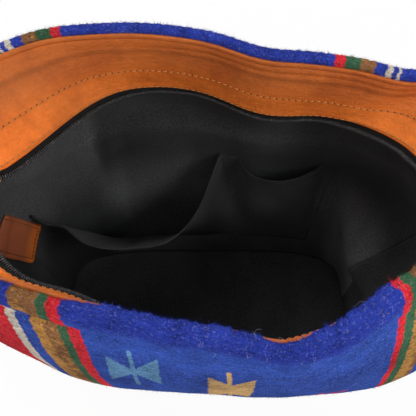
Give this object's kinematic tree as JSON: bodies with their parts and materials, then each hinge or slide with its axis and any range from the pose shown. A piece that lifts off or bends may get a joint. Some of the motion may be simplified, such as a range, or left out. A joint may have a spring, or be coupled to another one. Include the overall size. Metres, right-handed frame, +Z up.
{
  "type": "shoulder bag",
  "caption": "Soft shoulder bag of striped woven wool with a leather-lined zip mouth standing wide open, black cotton lining, slip pocket and a folded-down leather strap.",
  "frame": {"origin": "middle of the base's flat underside", "axes": "+X along the bag's width to its right end, +Z up, -Y to the front, where the rim is lower"},
  "size_m": [0.4674, 0.2347, 0.2828],
  "materials": {
    "wool": "felted hand-woven wool, mostly royal blue, with red, green, brown, gold and cream stripes",
    "leather": "orange-tan full-grain leather with a soft sheen",
    "lining": "matte black cotton twill",
    "zip_tape": "black woven zip tape",
    "zip_coil": "black nylon coil teeth",
    "antique_brass": "dark aged brass, worn lighter on its edges"
  },
  "bodies": {
    "bag": {"front_panel": "wool", "back_panel": "wool", "base_panel": "leather", "front_facing": "leather", "back_facing": "leather", "front_zip_tape": "zip_tape", "back_zip_tape": "zip_tape", "front_zip_teeth": "zip_coil", "back_zip_teeth": "zip_coil", "front_lining": "lining", "back_lining": "lining", "lining_base": "lining", "slip_pocket": "lining", "inner_patch": "leather", "zip_slider": "antique_brass", "shoulder_strap": "leather"},
    "pull": {"zip_pull": "antique_brass"}
  },
  "joints": [
    {"name": "pull_swing", "type": "hinge", "parent": "bag", "child": "pull", "pos_m": [-0.14757, 0, 0.23879], "axis": [0.7098, -0.6356, -0.3037], "range_deg": [0, 160]}
  ]
}
